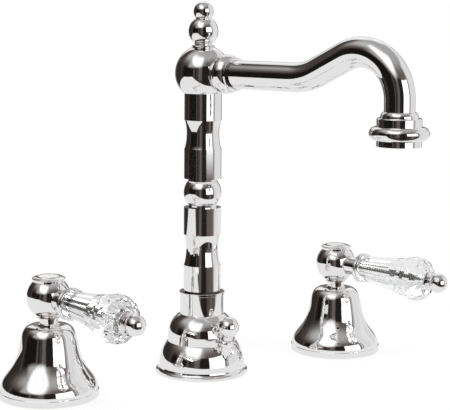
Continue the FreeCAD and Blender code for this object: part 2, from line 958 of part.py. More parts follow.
def half_port(low, high):
    """Opening of a ceramic disc: a half-moon on one side."""
    moon = rod(disc_port_radius, low, high)
    half = Part.makeBox(2 * disc_port_radius, disc_port_radius, high - low, V(-disc_port_radius, 0.8, low))
    return moon.common(half)


def fixed_disc():
    body = rod(disc_radius, seat_depth + 0.6, fixed_disc_top)
    return body.cut(half_port(seat_depth + 0.6, fixed_disc_top))


def moving_disc():
    body = rod(disc_radius, moving_disc_low, moving_disc_top)
    port_cut = half_port(moving_disc_low, moving_disc_top)
    port_cut.rotate(ORIGIN, Z_AXIS, 180)
    slot = Part.makeBox(
        2 * disc_radius, drive_width + 2 * fit_gap, 1.0,
        V(-disc_radius, -drive_width / 2 - fit_gap, moving_disc_top - 1.0),
    )
    return body.cut(port_cut).cut(slot)


def spindle():
    """Stem from the ceramic disc up into the lever's hub."""
    foot = turned(
        (0, moving_disc_top),
        (disc_radius, moving_disc_top),
        (disc_radius, moving_disc_top + spindle_foot),
        (spindle_radius, moving_disc_top + spindle_foot),
        (spindle_radius, hub_height - 0.2),
        (spindle_radius - 0.5, hub_height + 0.3),
        (0, hub_height + 0.3),
    )
    tongue = Part.makeBox(
        2 * disc_radius, drive_width, 0.9, V(-disc_radius, -drive_width / 2, moving_disc_top - 0.9)
    )
    tongue = tongue.common(rod(disc_radius - 0.2, moving_disc_top - 1.0, moving_disc_top))
    return foot.fuse(tongue).removeSplitter()


def bonnet_sleeve():
    """Sleeve nut that holds the bell down and guides the spindle."""
    low = valve_bell_height
    high = sleeve_top
    bore = spindle_radius + running_gap
    return turned(
        (bore, sleeve_foot),
        (sleeve_radius - 0.15, sleeve_foot),
        (sleeve_radius - 0.15, low),
        (sleeve_lip_radius - 0.3, low),
        (sleeve_lip_radius, low + 0.3),
        (sleeve_lip_radius, low + sleeve_lip - 0.2),
        (sleeve_radius, low + sleeve_lip),
        (sleeve_radius, high - sleeve_lip),
        (sleeve_lip_radius - 0.1, high - sleeve_lip + 0.2),
        (sleeve_lip_radius - 0.1, high - 0.2),
        (sleeve_lip_radius - 0.4, high),
        (bore, high),
    )


# Lever, built about Z upwards from the hub's centre and then laid along +X
def on_lever(shape):
    moved = shape.copy()
    moved.rotate(ORIGIN, Y_AXIS, 90 + lever_droop)
    moved.translate(V(0, 0, hub_height))
    return moved


def hub():
    foot = hub_height - sphere_cut(hub_radius, hub_foot_radius)
    body = Part.makeSphere(hub_radius, V(0, 0, hub_height))
    body = body.cut(rod(hub_radius, hub_height - hub_radius, foot))
    body = body.cut(rod(hub_radius, hub_top, hub_height + hub_radius))
    body = body.cut(rod(spindle_radius + fit_gap, foot, hub_height + 0.5))
    body = body.cut(rod(cap_plug_radius + fit_gap, hub_top - cap_plug_length - 0.2, hub_top))
    body = body.cut(on_lever(rod(boss_radius + fit_gap, boss_start, hub_radius)))
    return body.cut(on_lever(rod(tie_rod_radius + fit_gap, 4.2, hub_radius)))


def index_ring():
    """Index cap: a band, a thin wider disc and a low raised rim round the enamel."""
    cap_top = hub_top + cap_height
    edge_base = cap_top - cap_edge
    rim_top = cap_top + cap_rim_height
    floor = rim_top - enamel_thickness - 0.3
    inner = cap_rim_radius - cap_rim_wall
    slope_foot = (cap_radius - 0.4, cap_top)
    slope_head = (cap_rim_radius + 0.1, rim_top - 0.35)
    return turned(
        (0, hub_top - cap_plug_length),
        (cap_plug_radius, hub_top - cap_plug_length),
        (cap_plug_radius, hub_top),
        (cap_band_radius - 0.2, hub_top),
        (cap_band_radius, hub_top + 0.2),
        (cap_band_radius, edge_base - 0.2),
        (cap_radius - 0.2, edge_base),
        ((cap_radius, edge_base + cap_edge / 2), slope_foot),
        (arc_middle(slope_foot, slope_head, 0.12), slope_head),
        (cap_rim_radius - 0.2, rim_top),
        (inner + 0.2, rim_top),
        (inner, rim_top - 0.2),
        (inner, floor),
        (0, floor),
    )


def index_disc():
    top = hub_top + cap_height + cap_rim_height - 0.3
    radius = cap_rim_radius - cap_rim_wall - fit_gap
    return turned(
        (0, top - enamel_thickness),
        (radius, top - enamel_thickness),
        (radius, top - enamel_chamfer),
        (radius - enamel_chamfer, top),
        (0, top),
    )


cup_seat = boss_end + collar_ring_width + 0.6
crystal_start = cup_seat
cup_end = cup_seat + collar_cup_depth
flute_end = crystal_start + crystal_flute_length
first_row = flute_end + bulb_shoulder_length
bulb_centre = first_row + bulb_lead
crystal_end = first_row + bulb_rows * bulb_row_pitch + 0.5
ferrule_end = crystal_end + ferrule_width
end_ball_joint = ferrule_end + ferrule_neck_length
lever_end = end_ball_joint + sphere_cut(end_ball_radius, ferrule_neck_radius)


def lever_collar():
    """Boss from the hub with a ring, a groove and a cup that holds the crystal."""
    ring_end = boss_end + collar_ring_width
    ring_middle = boss_end + collar_ring_width / 2
    bore = tie_rod_radius + fit_gap
    cup_bore = crystal_start_radius + 0.5
    return on_lever(turned(
        (bore, boss_start),
        (boss_radius, boss_start),
        (boss_radius, boss_end),
        (collar_ring_radius - 0.6, boss_end),
        ((collar_ring_radius, ring_middle), (collar_ring_radius - 0.6, ring_end)),
        (collar_groove_radius, ring_end + 0.1),
        (collar_groove_radius, ring_end + 0.4),
        (collar_cup_radius - 0.4, ring_end + 0.5),
        ((collar_cup_radius, (ring_end + cup_end) / 2 + 0.3), (collar_cup_radius - 0.4, cup_end)),
        (cup_bore, cup_end),
        (cup_bore, cup_seat),
        (bore, cup_seat),
    ))


def facet_ring(radius, along, half_step):
    """Corners of one row of the crystal's facets."""
    corners = []
    for i in range(flute_count):
        angle = 2 * math.pi * (i + half_step) / flute_count
        corners.append(V(radius * math.cos(angle), radius * math.sin(angle), along))
    return corners


def facet(*corners):
    return Part.Face(Part.makePolygon(list(corners) + [corners[0]]))


def crystal():
    """Cut crystal: long flat flutes, then rows of facets round a bulb."""
    start = facet_ring(crystal_start_radius, crystal_start, 0)
    flute = facet_ring(crystal_flute_radius, flute_end, 0)
    faces = [facet(*reversed(start))]
    for i in range(flute_count):
        after = (i + 1) % flute_count
        faces.append(facet(start[i], start[after], flute[after], flute[i]))
    rows = [(flute, 0)]
    for k in range(bulb_rows):
        along = first_row + k * bulb_row_pitch
        half_step = 0.5 if k % 2 == 0 else 0
        radius = sphere_cut(bulb_radius, along - bulb_centre) if k else bulb_shoulder_radius
        rows.append((facet_ring(radius, along, half_step), half_step))
    last_step = 0 if rows[-1][1] else 0.5
    rows.append((facet_ring(crystal_end_radius, crystal_end, last_step), last_step))
    for (low, low_step), (high, high_step) in zip(rows, rows[1:]):
        shift = 0 if high_step > low_step else 1
        for i in range(flute_count):
            after = (i + 1) % flute_count
            tip = (i + shift) % flute_count
            faces.append(facet(low[i], low[after], high[tip]))
            faces.append(facet(high[tip], high[(tip - 1) % flute_count], low[i]))
    faces.append(facet(*rows[-1][0]))
    solid = Part.Solid(Part.Shell(faces))
    if solid.Volume < 0:
        solid.reverse()
    bore = rod(tie_rod_radius + crystal_bore_gap, crystal_start, crystal_end)
    return on_lever(solid.cut(bore))


def tie_rod():
    """Threaded rod through the crystal, from the hub to the end ball."""
    return on_lever(rod(tie_rod_radius, 4.5, lever_end - 2.5))


def end_ball():
    """Ferrule against the crystal, a neck and the end ball, turned in one."""
    neck = ferrule_neck_radius
    bore = tie_rod_radius + fit_gap
    bore_end = lever_end - 2.2
    return on_lever(turned(
        (bore, crystal_end),
        (ferrule_radius - 0.4, crystal_end),
        (ferrule_radius, crystal_end + 0.4),
        (ferrule_radius, ferrule_end - 0.5),
        (ferrule_radius - 0.5, ferrule_end),
        (neck, ferrule_end + 0.1),
        (neck, end_ball_joint),
        ((end_ball_radius, lever_end), (0, lever_end + end_ball_radius)),
        (0, bore_end),
        (bore, bore_end),
    ))


fixed_pieces = {
    "bell": valve_bell,
    "valve_body": valve_body,
    "flange_nut": flange_nut,
    "gasket": valve_gasket,
    "clamp_washer": valve_clamp_washer,
    "backnut": valve_backnut,
    "headwork": headwork,
    "fixed_disc": fixed_disc,
    "bonnet_sleeve": bonnet_sleeve,
}

handle_pieces = {
    "spindle": spindle,
    "moving_disc": moving_disc,
    "hub": hub,
    "index_ring": index_ring,
    "index_disc": index_disc,
    "lever_collar": lever_collar,
    "crystal": crystal,
    "tie_rod": tie_rod,
    "end_ball": end_ball,
}

spout_pieces = {
    "spout_escutcheon": spout_escutcheon,
    "swivel_housing": swivel_housing,
    "slip_ring": slip_ring,
    "spout_gasket": spout_gasket,
    "spout_clamp_washer": spout_clamp_washer,
    "spout_backnut": spout_backnut,
    "inlet_tee": inlet_tee,
    "rod_guide": rod_guide,
    "lift_knob": lift_knob,
    "lift_rod": lift_rod,
    "swivel_spigot": swivel_spigot,
    "column_lower": column_lower,
    "column_ball": column_ball,
    "column_upper": column_upper,
    "spout_head": spout_head,
    "finial": finial,
    "union_collar": union_collar,
    "spout_tube": spout_tube,
    "outlet_ring": outlet_ring,
    "aerator_housing": aerator_housing,
    "aerator_insert": aerator_insert,
}

os.makedirs("parts", exist_ok=True)

for name, make in spout_pieces.items():
    export(name, make())

for name, centre in zip(("lower_o_ring", "upper_o_ring"), o_ring_heights()):
    export(name, o_ring(centre))

for side, x, port_turn, lever_turn in (
    ("hot", -hole_spacing, 0, hot_turn),
    ("cold", hole_spacing, 180, cold_turn),
):
    for name, make in fixed_pieces.items():
        piece = make()
        piece.rotate(ORIGIN, Z_AXIS, port_turn)
        piece.translate(V(x, 0, 0))
        export(side + "_" + name, piece)
    for name, make in handle_pieces.items():
        piece = make()
        piece.rotate(ORIGIN, Z_AXIS, lever_turn)
        piece.translate(V(x, 0, 0))
        export(side + "_" + name, piece)
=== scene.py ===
import json
import math

import bmesh
import bpy
from mathutils import Matrix, Vector


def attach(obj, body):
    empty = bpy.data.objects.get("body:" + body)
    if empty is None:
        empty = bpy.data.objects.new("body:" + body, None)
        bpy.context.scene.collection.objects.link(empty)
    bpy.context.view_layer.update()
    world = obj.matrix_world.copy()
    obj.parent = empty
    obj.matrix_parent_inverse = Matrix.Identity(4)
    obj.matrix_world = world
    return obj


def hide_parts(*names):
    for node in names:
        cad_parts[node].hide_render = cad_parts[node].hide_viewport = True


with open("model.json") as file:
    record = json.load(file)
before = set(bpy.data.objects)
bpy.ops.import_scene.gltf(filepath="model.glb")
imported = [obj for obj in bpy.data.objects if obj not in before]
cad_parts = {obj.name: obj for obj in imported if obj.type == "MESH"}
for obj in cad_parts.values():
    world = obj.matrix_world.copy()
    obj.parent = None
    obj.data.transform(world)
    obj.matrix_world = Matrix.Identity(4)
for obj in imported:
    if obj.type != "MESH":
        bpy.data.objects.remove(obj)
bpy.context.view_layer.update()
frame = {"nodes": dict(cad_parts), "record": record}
nodes = frame["nodes"]
slotOf = {entry["node"]: entry["material_slot"] for entry in frame["record"]["subparts"]}
print("frame loaded:", len(nodes), "nodes")


# Camera, at the photograph's place

cameraUser = {
    "place": (-0.4302, -0.6680, 0.2100),
    "turn": -33.28,          # degrees about the upright, from looking along +Y
    "dip": 4.64,             # degrees below level
    "roll": 0.37,
    "lens": 109.3,           # mm
    "sensor": 36,            # mm across
    "shift": (0.0227, -0.1778),
    "nearest": 0.01,         # what lies nearer isn't drawn, m
}


def makeCamera():
    data = bpy.data.cameras.new("camera")
    data.lens = cameraUser["lens"]
    data.sensor_fit = "HORIZONTAL"
    data.sensor_width = cameraUser["sensor"]
    data.shift_x, data.shift_y = cameraUser["shift"]
    data.clip_start = cameraUser["nearest"]
    camera = bpy.data.objects.new("camera", data)
    bpy.context.scene.collection.objects.link(camera)
    turn = Matrix.Rotation(math.radians(cameraUser["turn"]), 4, "Z")
    dip = Matrix.Rotation(math.radians(90 - cameraUser["dip"]), 4, "X")
    roll = Matrix.Rotation(math.radians(cameraUser["roll"]), 4, "Z")
    camera.matrix_world = Matrix.Translation(cameraUser["place"]) @ turn @ dip @ roll
    bpy.context.scene.camera = camera
    bpy.context.scene.view_settings.view_transform = "Standard"


makeCamera()
print("camera set")


# Small helpers for node trees and new pieces

def addNode(tree, kind, **settings):
    node = tree.nodes.new(kind)
    for name, value in settings.items():
        setattr(node, name, value)
    return node


def feed(tree, socket, value):
    # A socket takes a plain number or another node's output
    if isinstance(value, (int, float)):
        socket.default_value = value
    else:
        tree.links.new(value, socket)


def mathNode(tree, operation, first, second=None, clamp=False):
    node = addNode(tree, "ShaderNodeMath", operation=operation, use_clamp=clamp)
    feed(tree, node.inputs[0], first)
    if second is not None:
        feed(tree, node.inputs[1], second)
    return node.outputs[0]


def product(tree, factors):
    result = factors[0]
    for factor in factors[1:]:
        result = mathNode(tree, "MULTIPLY", result, factor)
    return result


def rampBetween(tree, value, low, high, fromValue=0.0, toValue=1.0, smooth=True):
    node = addNode(tree, "ShaderNodeMapRange", clamp=True)
    node.interpolation_type = "SMOOTHSTEP" if smooth else "LINEAR"
    tree.links.new(value, node.inputs["Value"])
    node.inputs["From Min"].default_value = low
    node.inputs["From Max"].default_value = high
    node.inputs["To Min"].default_value = fromValue
    node.inputs["To Max"].default_value = toValue
    return node.outputs["Result"]


def softEnds(tree, values, ends, soft):
    # Two masks, which are 1 inside the low and the high end and fade to 0 across them
    low, high = ends
    return [
        rampBetween(tree, values[0], low - soft, low + soft),
        rampBetween(tree, values[1], high + soft, high - soft),
    ]


def mixNumbers(tree, mask, low, high):
    node = addNode(tree, "ShaderNodeMix", data_type="FLOAT")
    feed(tree, node.inputs[0], mask)
    feed(tree, node.inputs[2], low)
    feed(tree, node.inputs[3], high)
    return node.outputs[0]


def blendColours(tree, mask, low, high):
    node = addNode(tree, "ShaderNodeMix", data_type="RGBA")
    tree.links.new(mask, node.inputs[0])
    node.inputs[6].default_value = low
    node.inputs[7].default_value = high
    return node.outputs[2]


def mixShaders(tree, mask, first, second):
    node = addNode(tree, "ShaderNodeMixShader")
    tree.links.new(mask, node.inputs[0])
    tree.links.new(first.outputs[0], node.inputs[1])
    tree.links.new(second.outputs[0], node.inputs[2])
    return node


def noiseIn(tree, vector, scale, detail, roughness):
    node = addNode(tree, "ShaderNodeTexNoise")
    tree.links.new(vector, node.inputs["Vector"])
    feed(tree, node.inputs["Scale"], scale)
    node.inputs["Detail"].default_value = detail
    node.inputs["Roughness"].default_value = roughness
    return node.outputs["Fac"]


def newPiece(name, shape, material):
    mesh = bpy.data.meshes.new(name)
    shape.to_mesh(mesh)
    shape.free()
    mesh.materials.append(material)
    piece = bpy.data.objects.new(name, mesh)
    bpy.context.scene.collection.objects.link(piece)
    return piece


# Studio: white backdrop for the camera, dark walls and white boxes for the chrome

studioUser = {
    "facing": 122.9,         # turns a direction so that 0 is towards the camera, degrees
    "ceiling": 0.40,         # brightness where no panel stands
    "fill": 0.62,            # light on dull surfaces
    "seenThroughGlass": 0.40,    # share of the room in what crystal shows, the rest is white
    "darkCast": (1.0, 0.88, 0.83, 1),    # colour of the darkest parts
    "castEnd": 0.5,          # brightness from which the cast is gone
    "streaks": 0.12,         # how far the brightness strays
    "streakAcross": 0.16,    # noise cells for a degree round the object
    "streakUp": 0.012,       # and for a degree up
    "streakNoise": (1.0, 2.0, 0.5),    # scale, detail, roughness
    "streakRange": (0.3, 0.7),         # noise at the dimmest and the brightest
    # Panels, where a later one covers the earlier: its sides in degrees round the object, its
    # foot and top in degrees above level, the softness of its edges, which may be a pair for
    # across and up, its brightness, and how far each side leans for a degree up
    "panels": {
        "left wall": ((-154, -70), (-95, 55), 9.0, 0.055),
        "right wall": ((4, 72), (-95, 50), 14.0, 0.12),
        "dark left wall": ((-154, -84), (-95, 20), 8.0, 0.028),
        "black corner": ((-92, -38), (-95, 22), 6.0, 0.009),
        "corner line": ((-101, -98), (-95, 22), 1.2, 0.08),
        "near wall": ((-40, 2), (-95, 25), 5.0, 0.05),
        "dark line": ((-33, -29), (-95, 20), 1.5, 0.015),
        "grey strip": ((-19, -6), (-28, 24), 3.0, 0.13),
        "black near wall": ((-4, 27), (-95, 30), 4.0, 0.016),
        "dark below window": ((24, 75), (-95, -12), 3.0, 0.04),
        "glow below window": ((44, 55), (-40, -12), 2.5, 0.18),
        "pale side wall": ((75, 158), (-95, 48), 2.0, 0.78),
        "side wall's edge": ((77.2, 79), (-95, 32), 0.5, 0.10),
        "back wall, right": ((154, 200), (-95, 58), 4.0, 0.90),
        "back wall, left": ((-200, -154), (-95, 58), 4.0, 0.90),
        "dark behind, right": ((149, 200), (-11, 15), 3.0, 0.18),
        "dark behind, left": ((-200, -149), (-11, 15), 3.0, 0.18),
        "upper glow": ((-128, 10), (47, 73), 13.0, 0.42),
        "upper left glow": ((-118, -22), (42, 80), (14.0, 20.0), 0.50),
        "soft box": ((-40, -11), (27, 69), 9.0, 1.12, (-1.3, 0.45)),
        "window": ((22.5, 67), (-6, 28.5), 1.2, 1.5),
    },
}


def directionSeen(tree):
    # Degrees round the object, from the camera, and degrees above level
    coords = addNode(tree, "ShaderNodeTexCoord")
    turned = addNode(tree, "ShaderNodeVectorRotate", rotation_type="Z_AXIS")
    turned.inputs["Angle"].default_value = math.radians(studioUser["facing"])
    tree.links.new(coords.outputs["Generated"], turned.inputs["Vector"])
    parts = addNode(tree, "ShaderNodeSeparateXYZ")
    tree.links.new(turned.outputs["Vector"], parts.inputs[0])
    around = mathNode(tree, "ARCTAN2", parts.outputs["Y"], parts.outputs["X"])
    rise = mathNode(tree, "ARCSINE", parts.outputs["Z"])
    return mathNode(tree, "DEGREES", around), mathNode(tree, "DEGREES", rise)


def panelMask(tree, around, rise, sides, levels, soft, lean=None):
    softAcross, softUp = soft if isinstance(soft, tuple) else (soft, soft)
    across = [around, around]
    if lean:
        above = mathNode(tree, "SUBTRACT", rise, levels[0])
        leaned = [mathNode(tree, "MULTIPLY", above, share) for share in lean]
        across = [mathNode(tree, "SUBTRACT", around, offset) for offset in leaned]
    edges = softEnds(tree, across, sides, softAcross) + softEnds(tree, [rise, rise], levels, softUp)
    return product(tree, edges)


def wallStreaks(tree, around, rise):
    # Uneven light, drawn out upwards
    place = addNode(tree, "ShaderNodeCombineXYZ")
    for axis, angle, size in (
        ("X", around, studioUser["streakAcross"]),
        ("Y", rise, studioUser["streakUp"]),
    ):
        tree.links.new(mathNode(tree, "MULTIPLY", angle, size), place.inputs[axis])
    noise = noiseIn(tree, place.outputs[0], *studioUser["streakNoise"])
    low, high = studioUser["streakRange"]
    amount = studioUser["streaks"]
    return rampBetween(tree, noise, low, high, 1 - amount, 1 + amount, smooth=False)


def makeWorld():
    world = bpy.data.worlds.new("studio")
    bpy.context.scene.world = world
    world.use_nodes = True
    tree = world.node_tree
    tree.nodes.clear()
    around, rise = directionSeen(tree)
    room = studioUser["ceiling"]
    for sides, levels, soft, bright, *lean in studioUser["panels"].values():
        mask = panelMask(tree, around, rise, sides, levels, soft, *lean)
        room = mixNumbers(tree, mask, room, bright)
    room = mathNode(tree, "MULTIPLY", room, wallStreaks(tree, around, rise))
    path = addNode(tree, "ShaderNodeLightPath")
    throughGlass = mixNumbers(tree, studioUser["seenThroughGlass"], 1.0, room)
    strength = mixNumbers(tree, path.outputs["Is Glossy Ray"], studioUser["fill"], room)
    strength = mixNumbers(tree, path.outputs["Is Transmission Ray"], strength, throughGlass)
    strength = mixNumbers(tree, path.outputs["Is Camera Ray"], strength, 1.0)
    lit = rampBetween(tree, strength, 0.0, studioUser["castEnd"])
    colour = blendColours(tree, lit, studioUser["darkCast"], (1, 1, 1, 1))
    background = addNode(tree, "ShaderNodeBackground")
    tree.links.new(colour, background.inputs["Color"])
    tree.links.new(strength, background.inputs["Strength"])
    output = addNode(tree, "ShaderNodeOutputWorld")
    tree.links.new(background.outputs[0], output.inputs["Surface"])


floorUser = {
    "radius": 1.6,
    "segments": 96,
    "drop": 0.0003,          # below the deck's top face
    "colour": (0.9, 0.9, 0.895, 1),
    "white": 0.82,           # share of plain white near the object, all white further out
    "fadeFrom": 0.16,        # metres from the middle
    "fadeTo": 0.42,
    "paper": {"X": (-0.80, 0.80), "Y": (-0.155, 0.43)},    # the sheet that the chrome shows
    "paperEdge": 0.004,
    "mirrored": 0.85,        # its brightness in the chrome
}


def paperFinish():
    material = bpy.data.materials.new("pale paper")
    material.use_nodes = True
    tree = material.node_tree
    tree.nodes.clear()
    coords = addNode(tree, "ShaderNodeTexCoord")
    distance = addNode(tree, "ShaderNodeVectorMath", operation="LENGTH")
    tree.links.new(coords.outputs["Object"], distance.inputs[0])
    plainWhite = rampBetween(
        tree, distance.outputs["Value"], floorUser["fadeFrom"], floorUser["fadeTo"],
        floorUser["white"], 1.0,
    )
    parts = addNode(tree, "ShaderNodeSeparateXYZ")
    tree.links.new(coords.outputs["Object"], parts.inputs[0])
    edges = []
    for axis, ends in floorUser["paper"].items():
        edges += softEnds(tree, [parts.outputs[axis]] * 2, ends, floorUser["paperEdge"])
    offPaper = mathNode(tree, "SUBTRACT", 1.0, product(tree, edges))
    inChrome = addNode(tree, "ShaderNodeLightPath").outputs["Is Glossy Ray"]
    dull = addNode(tree, "ShaderNodeBsdfDiffuse")
    dull.inputs["Color"].default_value = floorUser["colour"]
    glow = addNode(tree, "ShaderNodeEmission")
    strength = mixNumbers(tree, inChrome, 1.0, floorUser["mirrored"])
    tree.links.new(strength, glow.inputs["Strength"])
    clear = addNode(tree, "ShaderNodeBsdfTransparent")
    paper = mixShaders(tree, mixNumbers(tree, inChrome, plainWhite, 1.0), dull, glow)
    ended = mixShaders(tree, mathNode(tree, "MULTIPLY", inChrome, offPaper), paper, clear)
    output = addNode(tree, "ShaderNodeOutputMaterial")
    tree.links.new(ended.outputs[0], output.inputs["Surface"])
    return material


def makeFloor():
    disc = bmesh.new()
    bmesh.ops.create_circle(
        disc, cap_ends=True, segments=floorUser["segments"], radius=floorUser["radius"]
    )
    bmesh.ops.translate(disc, vec=(0, 0, -floorUser["drop"]), verts=disc.verts)
    floor = newPiece("floor", disc, paperFinish())


lampUser = {
    "aim": (0, 0, 0.08),
    "boxes": {
        "overhead": {"place": (-0.25, -0.45, 0.85), "size": 0.5, "power": 5.0},
        "right": {"place": (0.65, -0.75, 0.45), "size": 0.6, "power": 5.0},
        "back": {"place": (0.2, 0.8, 0.6), "size": 0.6, "power": 3.0},
    },
}


def makeLamps():
    for name, lamp in lampUser["boxes"].items():
        data = bpy.data.lights.new(name + " box", "AREA")
        data.energy = lamp["power"]
        data.size = lamp["size"]
        box = bpy.data.objects.new(name + " box", data)
        bpy.context.scene.collection.objects.link(box)
        aim = Vector(lampUser["aim"]) - Vector(lamp["place"])
        turn = aim.to_track_quat("-Z", "Y").to_matrix().to_4x4()
        box.matrix_world = Matrix.Translation(lamp["place"]) @ turn
        box.visible_glossy = False


makeWorld()
makeFloor()
makeLamps()
print("studio set")


# Node groups that several finishes share

def newGroup(name, inputs, mask):
    # Every group reads Object coordinates and puts out a roughness, a colour mask and a normal
    group = bpy.data.node_groups.new(name, "ShaderNodeTree")
    for label, value in inputs.items():
        socket = group.interface.new_socket(
            name=label, in_out="INPUT", socket_type="NodeSocketFloat"
        )
        socket.default_value = value
    for label, kind in (("Roughness", "Float"), (mask, "Float"), ("Normal", "Vector")):
        group.interface.new_socket(name=label, in_out="OUTPUT", socket_type="NodeSocket" + kind)
    place = addNode(group, "ShaderNodeTexCoord").outputs["Object"]
    return group, addNode(group, "NodeGroupInput").outputs, place


def putOut(group, values):
    out = addNode(group, "NodeGroupOutput")
    for label, value in values.items():
        group.links.new(value, out.inputs[label])


def bumpNormal(group, height, strength, distance):
    bump = addNode(group, "ShaderNodeBump")
    bump.inputs["Distance"].default_value = distance
    group.links.new(strength, bump.inputs["Strength"])
    group.links.new(height, bump.inputs["Height"])
    return bump.outputs["Normal"]


# Buffing swirls, a few dried water spots and the faint waves of a polished casting

polishUser = {
    "inputs": {
        "Smoothest": 0.02, "Dullest": 0.06, "Wave Size": 45.0, "Wave Height": 0.1, "Spots": 0.3,
    },
    "haze": (38.0, 4.0, 0.6),        # noise: scale, detail, roughness
    "hazeShare": 0.75,
    "swirl": (900.0, 2.0, 0.5),
    "swirlShare": 0.25,
    "marked": (0.32, 0.68),          # noise where the metal is clean and where it is marked
    "spotScale": 210.0,
    "spotEdge": (0.20, 0.10),        # outside and inside of a water spot
    "spotPatches": (60.0, 1.0, 0.5),
    "spotted": (0.58, 0.66),         # noise where spots begin and where they are full
    "dimmed": 0.06,                  # how much the marks take off the tone
    "wave": (1.0, 0.4),              # detail, roughness
    "waveDistance": 0.0006,
}


def polishGroup():
    group, given, place = newGroup("polish marks", polishUser["inputs"], "Tone")
    haze = noiseIn(group, place, *polishUser["haze"])
    swirl = noiseIn(group, place, *polishUser["swirl"])
    spots = addNode(group, "ShaderNodeTexVoronoi", feature="F1")
    spots.inputs["Scale"].default_value = polishUser["spotScale"]
    group.links.new(place, spots.inputs["Vector"])
    spotMask = rampBetween(group, spots.outputs["Distance"], *polishUser["spotEdge"])
    patches = noiseIn(group, place, *polishUser["spotPatches"])
    rare = rampBetween(group, patches, *polishUser["spotted"])
    spotMask = product(group, [spotMask, rare, given["Spots"]])
    marks = mathNode(
        group, "ADD",
        mathNode(group, "MULTIPLY", haze, polishUser["hazeShare"]),
        mathNode(group, "MULTIPLY", swirl, polishUser["swirlShare"]),
    )
    marks = rampBetween(group, marks, *polishUser["marked"])
    marks = mathNode(group, "ADD", marks, spotMask, clamp=True)
    dimming = mathNode(group, "MULTIPLY", marks, polishUser["dimmed"])
    waves = noiseIn(group, place, given["Wave Size"], *polishUser["wave"])
    putOut(group, {
        "Roughness": mixNumbers(group, marks, given["Smoothest"], given["Dullest"]),
        "Tone": mathNode(group, "SUBTRACT", 1.0, dimming),
        "Normal": bumpNormal(group, waves, given["Wave Height"], polishUser["waveDistance"]),
    })
    return group


# Fine rings left by turning, with patches of tarnish

latheUser = {
    "inputs": {
        "Ring Density": 2600.0, "Depth": 0.25, "Tarnish Size": 70.0, "Low": 0.22, "High": 0.42,
    },
    "ringDistortion": 0.6,
    "ringDetail": 2.0,
    "tarnish": (5.0, 0.62),          # detail, roughness
    "tarnished": (0.38, 0.70),       # noise where tarnish begins and where it is full
    "ringDistance": 0.00006,
}


def latheGroup():
    group, given, place = newGroup("lathe rings", latheUser["inputs"], "Tarnish")
    rings = addNode(group, "ShaderNodeTexWave", wave_type="BANDS", bands_direction="Z")
    group.links.new(place, rings.inputs["Vector"])
    group.links.new(given["Ring Density"], rings.inputs["Scale"])
    rings.inputs["Distortion"].default_value = latheUser["ringDistortion"]
    rings.inputs["Detail"].default_value = latheUser["ringDetail"]
    tarnish = noiseIn(group, place, given["Tarnish Size"], *latheUser["tarnish"])
    tarnish = rampBetween(group, tarnish, *latheUser["tarnished"])
    height = rings.outputs["Fac"]
    putOut(group, {
        "Roughness": mixNumbers(group, tarnish, given["Low"], given["High"]),
        "Tarnish": tarnish,
        "Normal": bumpNormal(group, height, given["Depth"], latheUser["ringDistance"]),
    })
    return group


# Fine moulded or fired grain, with dust in cloudy patches

grainUser = {
    "inputs": {"Grain Size": 1800.0, "Grain Height": 0.2, "Low": 0.4, "High": 0.6},
    "grain": (3.0, 0.5),             # detail, roughness
    "cloud": (55.0, 4.0, 0.5),       # scale, detail, roughness
    "dusty": (0.45, 0.75),           # noise where dust begins and where it is full
    "grainDistance": 0.0001,
}


def grainGroup():
    group, given, place = newGroup("fine grain", grainUser["inputs"], "Dust")
    grains = noiseIn(group, place, given["Grain Size"], *grainUser["grain"])
    cloud = noiseIn(group, place, *grainUser["cloud"])
    putOut(group, {
        "Roughness": mixNumbers(group, cloud, given["Low"], given["High"]),
        "Dust": rampBetween(group, cloud, *grainUser["dusty"]),
        "Normal": bumpNormal(group, grains, given["Grain Height"], grainUser["grainDistance"]),
    })
    return group


polish = polishGroup()
lathe = latheGroup()
grain = grainGroup()


# Finishes: each blends two colours by its group's mask

chromeUser = {
    "colour": (0.912, 0.902, 0.902, 1),
    "dimmed": 0.86,          # share of the colour that is left where the marks are thickest
    "castNodes": ("spout_escutcheon", "spout_tube", "hot_bell", "cold_bell"),
}


def newFinish(name, group, mask, colours, values, metallic=0.0, bumpy=True):
    material = bpy.data.materials.new(name)
    material.use_nodes = True
    tree = material.node_tree
    shader = tree.nodes["Principled BSDF"]
    shader.inputs["Metallic"].default_value = metallic
    marks = addNode(tree, "ShaderNodeGroup", node_tree=group)
    for label, value in values.items():
        marks.inputs[label].default_value = value
    colour = blendColours(tree, marks.outputs[mask], *colours)
    tree.links.new(colour, shader.inputs["Base Color"])
    tree.links.new(marks.outputs["Roughness"], shader.inputs["Roughness"])
    if bumpy:
        tree.links.new(marks.outputs["Normal"], shader.inputs["Normal"])
    return material


def chromeFinish(name, values):
    bright = chromeUser["colour"]
    dim = tuple(channel * chromeUser["dimmed"] for channel in bright[:3]) + (1,)
    return newFinish(name, polish, "Tone", (dim, bright), values, metallic=1.0)


def machinedFinish(name, clean, tarnished, values):
    return newFinish(name, lathe, "Tarnish", (clean, tarnished), values, metallic=1.0)


def dullFinish(name, clean, dusty, values):
    return newFinish(name, grain, "Dust", (clean, dusty), values)


crystalUser = {
    "ior": 1.49,
    "tint": (0.995, 1.0, 1.0, 1),
    "faint": (0.975, 0.975, 0.98, 1),
    "marks": {"Grain Size": 300.0, "Grain Height": 0.0, "Low": 0.0, "High": 0.012},
    "deepest": 5,            # bounces after which a ray goes straight on
    "merge": 1e-6,           # corners this near become one
    "flat": 0.5,             # degrees between faces that are one facet
    "edgeAngle": 5,          # degrees at an edge from which it is polished
    "edgeLength": 0.0012,    # and its least length
    "edgeWidth": 0.00030,
}


